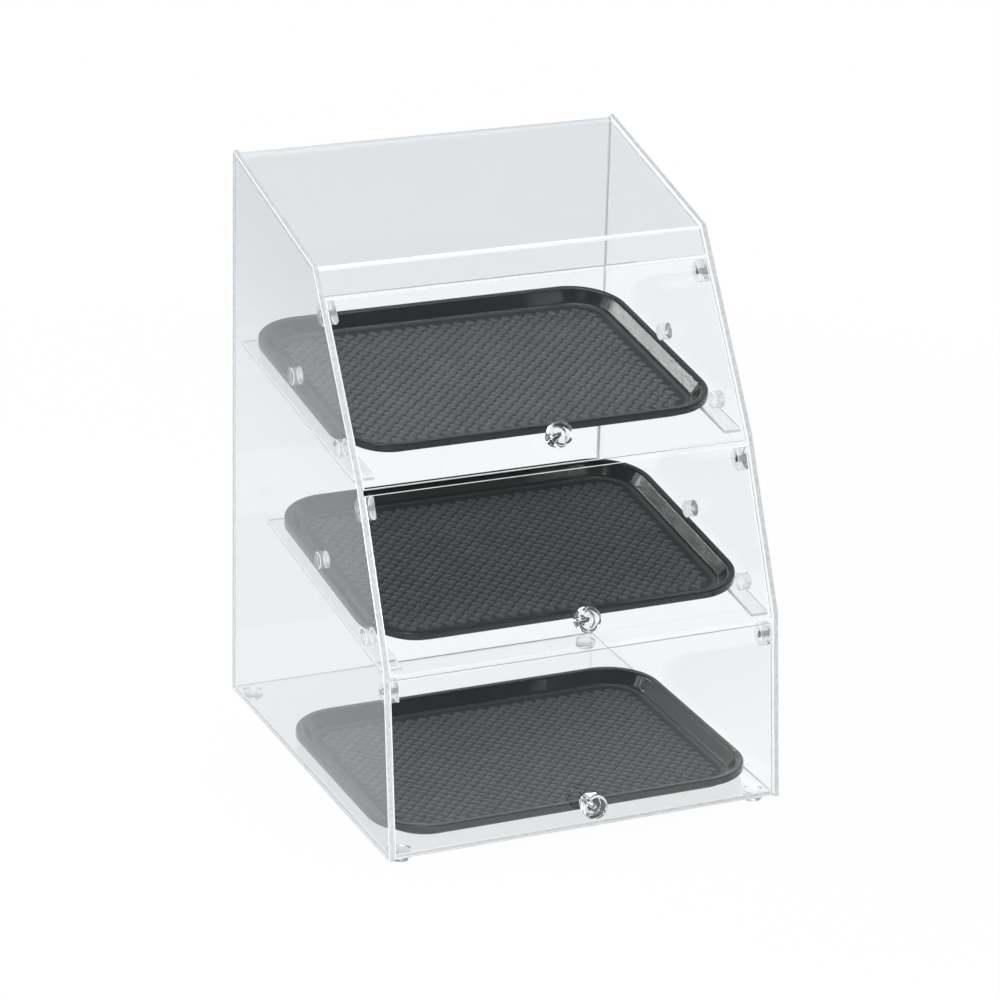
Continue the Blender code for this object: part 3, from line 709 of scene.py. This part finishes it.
def add_pad(shape, across, back, turn):
    """One crowned pad of the woven relief, whose length lies along a turn from +X."""
    grid = []
    for along_share, along_height in PAD_ALONG:
        line = []
        for side_share, side_height in PAD_ACROSS:
            along = along_share * PAD_HALF_LENGTH
            side = side_share * PAD_HALF_WIDTH * (1 - PAD_END_NARROWING * along_share ** 2)
            height = PAD_HEIGHT * along_height * side_height
            line.append(shape.verts.new((across + along * math.cos(turn) - side * math.sin(turn),
                                         back + along * math.sin(turn) + side * math.cos(turn),
                                         TRAY_FLOOR_THICKNESS + height)))
        grid.append(line)
    for first, second in zip(grid, grid[1:]):
        for index in range(len(first) - 1):
            face = shape.faces.new((first[index], second[index], second[index + 1], first[index + 1]))
            face.material_index = PAD_INDEX


def inside_floor(across, back, half_width, depth, border):
    """True where a point lies inside the flat floor, a border in from the wall's foot."""
    inset = TRAY_RIM + TRAY_FLARE + TRAY_WALL + TRAY_EDGE_ROUND + border
    radius = TRAY_CORNER - inset
    x = max(abs(across) - (half_width - inset - radius), 0)
    y = max(abs(back - depth / 2) - (depth / 2 - inset - radius), 0)
    return math.hypot(x, y) <= radius


def tray_mesh(name, half_width, depth):
    """A moulded tray with a rolled rim and a woven floor."""
    shape = bmesh.new()
    loops = []
    for inset, height in tray_section():
        loops.append([shape.verts.new(point) for point in ring(half_width, depth, inset, height)])
    for lower, upper in zip(loops, loops[1:]):
        for index in range(len(lower)):
            after = (index + 1) % len(lower)
            shape.faces.new((lower[index], lower[after], upper[after], upper[index]))
    foot_inset, floor_height = tray_section()[-1]
    inner = [shape.verts.new(point)
             for point in ring(half_width, depth, foot_inset + PLAIN_BORDER, floor_height)]
    border = []
    for index in range(len(inner)):
        after = (index + 1) % len(inner)
        border.append(shape.faces.new((loops[-1][index], loops[-1][after], inner[after],
                                       inner[index])))
    shape.faces.new(loops[0][::-1])
    woven = shape.faces.new(inner)
    bmesh.ops.recalc_face_normals(shape, faces=shape.faces)
    for face in shape.faces:
        face.material_index = SATIN_INDEX
    for face in border:
        face.material_index = BORDER_INDEX
    woven.material_index = GAP_INDEX
    columns = int(half_width / WEAVE_PITCH)
    rows = int(depth / 2 / WEAVE_PITCH)
    for column in range(-columns, columns + 1):
        for row in range(-rows, rows + 1):
            across = column * WEAVE_PITCH
            back = depth / 2 + row * WEAVE_PITCH
            if (column + row) % 2 or not inside_floor(across, back, half_width, depth, WEAVE_BORDER):
                continue
            add_pad(shape, across, back, WEAVE_TURN if row % 2 == 0 else -WEAVE_TURN)
    return finished_mesh(name, shape, TRAY_SHARP_ANGLE)


def build_tray(node, tilt):
    """A tray in place of its solid: its front rim's lower corner is the solid's lowest point."""
    middle, size = middle_and_size(node)
    axes = Matrix.Rotation(tilt, 3, "X")
    low, high = extents(node, axes)
    corner = axes @ Vector((0, low.y, low.z))
    mesh = tray_mesh(node, size.x / 2, high.y - low.y)
    matrix = Matrix.Translation(corner) @ axes.to_4x4()
    tray = add_piece(node + "_moulded", mesh, WOVEN_PAD, node, matrix)
    tray.data.materials.append(SATIN_WALL_PAINTED_SHADE)
    tray.data.materials.append(WOVEN_GAP_PAINTED_SHADE)
    tray.data.materials.append(PLAIN_FLOOR)


def broad_faces(node):
    """The directions in which a sheet's broad faces look."""
    if node.endswith("_side_panel"):
        return [Vector((1, 0, 0))]
    if node == "back_panel":
        return [Vector((0, 1, 0))]
    if node == "base_panel":
        return [Vector((0, 0, 1))]
    if node.endswith("_runner"):
        return [Vector((0, -math.sin(TIER_TILT), math.cos(TIER_TILT)))]
    if node == "top_panel":
        faces = sorted(frame["nodes"][node].data.polygons, key=lambda face: -face.area)
        roof = next(face.normal.copy() for face in faces if face.normal.z > ROOF_UP_SHARE)
        lip = next(face.normal.copy() for face in faces if LIP_UP_SHARE < face.normal.z < ROOF_UP_SHARE)
        return [roof, lip]
    return [sheet_normal(node)]


def dress_sheets():
    """The flat acrylic pieces keep their solids and get the clear material."""
    for node, piece in frame["nodes"].items():
        if node.endswith(("_panel", "_door", "_runner")):
            tint_and_shade, index = SHEET_LOOKS.get(node, (SHEET_TINT, SHEET_INDEX))
            material = acrylic_sheet(node + "_acrylic", tint_and_shade, index, SHEET_EDGE_CLEAR,
                                     broad_faces(node))
            # The left panel's tint holds painted shade that grows darker towards its top.
            if node == "left_side_panel":
                grade_painted_shade(material, LEFT_TINT_AND_SHADE, LEFT_TOP_TINT_AND_SHADE, LEFT_SHADE_REACH)
            piece.data.materials.clear()
            piece.data.materials.append(material)
            clear_to_lamps(piece)


def grade_painted_shade(material, low, high, reach):
    """Paints shade into a sheet's colour, passing from one tone to another along a reach of its own
    height.
    """
    tree = material.node_tree
    place = tree.nodes.new("ShaderNodeTexCoord")
    parts = tree.nodes.new("ShaderNodeSeparateXYZ")
    tree.links.new(place.outputs["Object"], parts.inputs["Vector"])
    tint_and_shade = tone_between(tree, parts.outputs["Z"], reach, low, high)
    tree.links.new(tint_and_shade, tree.nodes["Principled BSDF"].inputs["Base Color"])


def level_ramp(tree, height, stops):
    """A neutral colour by the height of a direction."""
    ramp = tree.nodes.new("ShaderNodeValToRGB")
    ramp.color_ramp.elements[0].position = stops[0][0]
    ramp.color_ramp.elements[1].position = stops[-1][0]
    for position, _ in stops[1:-1]:
        ramp.color_ramp.elements.new(position)
    for element, (position, level) in zip(ramp.color_ramp.elements, stops):
        element.position = position
        element.color = (*(level * share for share in STUDIO_TONE), 1)
    tree.links.new(height, ramp.inputs["Fac"])
    return ramp.outputs["Color"]


def build_world():
    """A studio that is white to the camera, dim in front of the object and bright low behind it."""
    world = bpy.data.worlds.new("studio")
    bpy.context.scene.world = world
    world.use_nodes = True
    tree = world.node_tree
    tree.nodes.clear()
    place = tree.nodes.new("ShaderNodeTexCoord")
    parts = tree.nodes.new("ShaderNodeSeparateXYZ")
    tree.links.new(place.outputs["Generated"], parts.inputs["Vector"])
    front = level_ramp(tree, parts.outputs["Z"], FRONT_LEVELS)
    back = level_ramp(tree, parts.outputs["Z"], BACK_LEVELS)
    around = tone_between(tree, parts.outputs["Y"], TURN_REACH, front, back)
    path = tree.nodes.new("ShaderNodeLightPath")
    background = tree.nodes.new("ShaderNodeBackground")
    tree.links.new(chosen(tree, path.outputs["Is Camera Ray"], around, WHITE),
                   background.inputs["Color"])
    output = tree.nodes.new("ShaderNodeOutputWorld")
    tree.links.new(background.outputs["Background"], output.inputs["Surface"])


def tone_between(tree, value, reach, first, second):
    """A colour that passes from one to another as a value passes along a reach."""
    share = tree.nodes.new("ShaderNodeMapRange")
    share.interpolation_type = "SMOOTHSTEP"
    share.inputs["From Min"].default_value = reach[0]
    share.inputs["From Max"].default_value = reach[1]
    tree.links.new(value, share.inputs["Value"])
    return chosen(tree, share.outputs["Result"], first, second)


def chosen(tree, share, first, second):
    """A mix of two colours by a share, each given as a tone or as another node's output."""
    mix = tree.nodes.new("ShaderNodeMix")
    mix.data_type = "RGBA"
    tree.links.new(share, mix.inputs["Factor"])
    for socket, tone in (("A", first), ("B", second)):
        if isinstance(tone, tuple):
            mix.inputs[socket].default_value = (*tone, 1)
        else:
            tree.links.new(tone, mix.inputs[socket])
    return mix.outputs["Result"]


def build_floor():
    """A large floor just under the feet."""
    mesh = bpy.data.meshes.new("floor")
    shape = bmesh.new()
    bmesh.ops.create_grid(shape, x_segments=1, y_segments=1, size=FLOOR_HALF)
    shape.to_mesh(mesh)
    shape.free()
    floor = bpy.data.objects.new("floor", mesh)
    floor.location = (0, 0, -FLOOR_GAP)
    bpy.context.scene.collection.objects.link(floor)
    mesh.materials.append(floor_material())


def floor_material():
    """A white floor that keeps a soft shadow, with painted shade where it is seen through the acrylic
    and where glossy pieces mirror it.
    """
    material = bpy.data.materials.new("studio_floor")
    material.use_nodes = True
    material.cycles.emission_sampling = "NONE"
    tree = material.node_tree
    tree.nodes.clear()
    place = tree.nodes.new("ShaderNodeNewGeometry").outputs["Position"]
    length = tree.nodes.new("ShaderNodeVectorMath")
    length.operation = "LENGTH"
    tree.links.new(place, length.inputs[0])
    parts = tree.nodes.new("ShaderNodeSeparateXYZ")
    tree.links.new(place, parts.inputs["Vector"])
    distance = length.outputs["Value"]
    path = tree.nodes.new("ShaderNodeLightPath")
    # Painted shadow under the case and painted grey far off through the acrylic; painted shade in front
    # in reflections.
    under = tone_between(tree, distance, UNDER_REACH, FLOOR_PAINTED_SHADOW, WHITE)
    through = tone_between(tree, distance, FAR_REACH, under, FLOOR_FAR_PAINTED_SHADE)
    mirrored = tone_between(tree, parts.outputs["Y"], FRONT_REACH, FLOOR_FRONT_PAINTED_SHADE, FLOOR_BEHIND)
    seen = chosen(tree, path.outputs["Is Transmission Ray"], WHITE, through)
    seen = chosen(tree, path.outputs["Is Glossy Ray"], seen, mirrored)
    share = glow_share(tree, distance, path.outputs["Is Diffuse Ray"])
    glow = tree.nodes.new("ShaderNodeEmission")
    tree.links.new(seen, glow.inputs["Color"])
    matt = tree.nodes.new("ShaderNodeBsdfDiffuse")
    tree.links.new(seen, matt.inputs["Color"])
    floor_shader = mixed(tree, share, matt.outputs["BSDF"], glow.outputs["Emission"])
    output = tree.nodes.new("ShaderNodeOutputMaterial")
    tree.links.new(floor_shader, output.inputs["Surface"])
    return material


def glow_share(tree, distance, diffuse_ray):
    """How far the floor glows: nearly wholly, wholly far off, and not at all to soft light."""
    glowing = tree.nodes.new("ShaderNodeMapRange")
    glowing.inputs["From Min"].default_value = FLOOR_GLOW_REACH[0]
    glowing.inputs["From Max"].default_value = FLOOR_GLOW_REACH[1]
    glowing.inputs["To Min"].default_value = FLOOR_GLOW_SHARE
    tree.links.new(distance, glowing.inputs["Value"])
    share = tree.nodes.new("ShaderNodeMath")
    share.operation = "MULTIPLY"
    tree.links.new(glowing.outputs["Result"], share.inputs[1])
    inverse = tree.nodes.new("ShaderNodeMath")
    inverse.operation = "SUBTRACT"
    inverse.inputs[0].default_value = 1.0
    tree.links.new(diffuse_ray, inverse.inputs[1])
    tree.links.new(inverse.outputs["Value"], share.inputs[0])
    return share.outputs["Value"]


def add_lamp(name, place, aim, width, height, power):
    """A soft lamp that faces a point, and which no camera sees directly."""
    lamp = bpy.data.lights.new(name, "AREA")
    lamp.shape = "RECTANGLE"
    lamp.size = width
    lamp.size_y = height
    lamp.energy = power
    item = bpy.data.objects.new(name, lamp)
    item.location = place
    item.rotation_euler = (Vector(aim) - Vector(place)).to_track_quat("-Z", "Y").to_euler()
    item.visible_camera = False
    bpy.context.scene.collection.objects.link(item)


def build_camera():
    forward = Vector((math.sin(CAMERA_YAW) * math.cos(CAMERA_PITCH),
                      math.cos(CAMERA_YAW) * math.cos(CAMERA_PITCH), -math.sin(CAMERA_PITCH)))
    level = Vector((math.cos(CAMERA_YAW), -math.sin(CAMERA_YAW), 0))
    up = level.cross(forward)
    right = level * math.cos(CAMERA_ROLL) + up * math.sin(CAMERA_ROLL)
    above = up * math.cos(CAMERA_ROLL) - level * math.sin(CAMERA_ROLL)
    data = bpy.data.cameras.new("camera")
    data.sensor_width = SENSOR_MM
    data.lens = FOCAL_PIXELS * SENSOR_MM / PICTURE_SIZE
    data.clip_end = CAMERA_REACH
    camera = bpy.data.objects.new("camera", data)
    turn = Matrix((right, above, -forward)).transposed().to_4x4()
    camera.matrix_world = Matrix.Translation(CAMERA_PLACE) @ turn
    bpy.context.scene.collection.objects.link(camera)
    bpy.context.scene.camera = camera


build_camera()
dress_sheets()
for tier, tilt in (("upper", TIER_TILT), ("middle", TIER_TILT), ("lower", 0)):
    build_tray(tier + "_tray", tilt)
for node in sorted(frame["nodes"]):
    if node.endswith(("_tray_keeper", "_tray_stop")):
        build_rod(node, PEG_EDGE, ROD)
    elif node.endswith("_hinge_pin"):
        build_rod(node, PIN_EDGE, STEEL)
    elif node.endswith("_foot"):
        build_foot(node)
for door in ("upper", "middle", "lower"):
    build_knob(door)
    for side in ("left", "right"):
        build_barrel(f"{door}_{side}_hinge_barrel", f"{door}_{side}_hinge_pin",
                     sheet_normal(door + "_door"))

build_world()
build_floor()
for lamp_values in LAMPS:
    add_lamp(*lamp_values)
bpy.context.scene.view_settings.view_transform = "Standard"
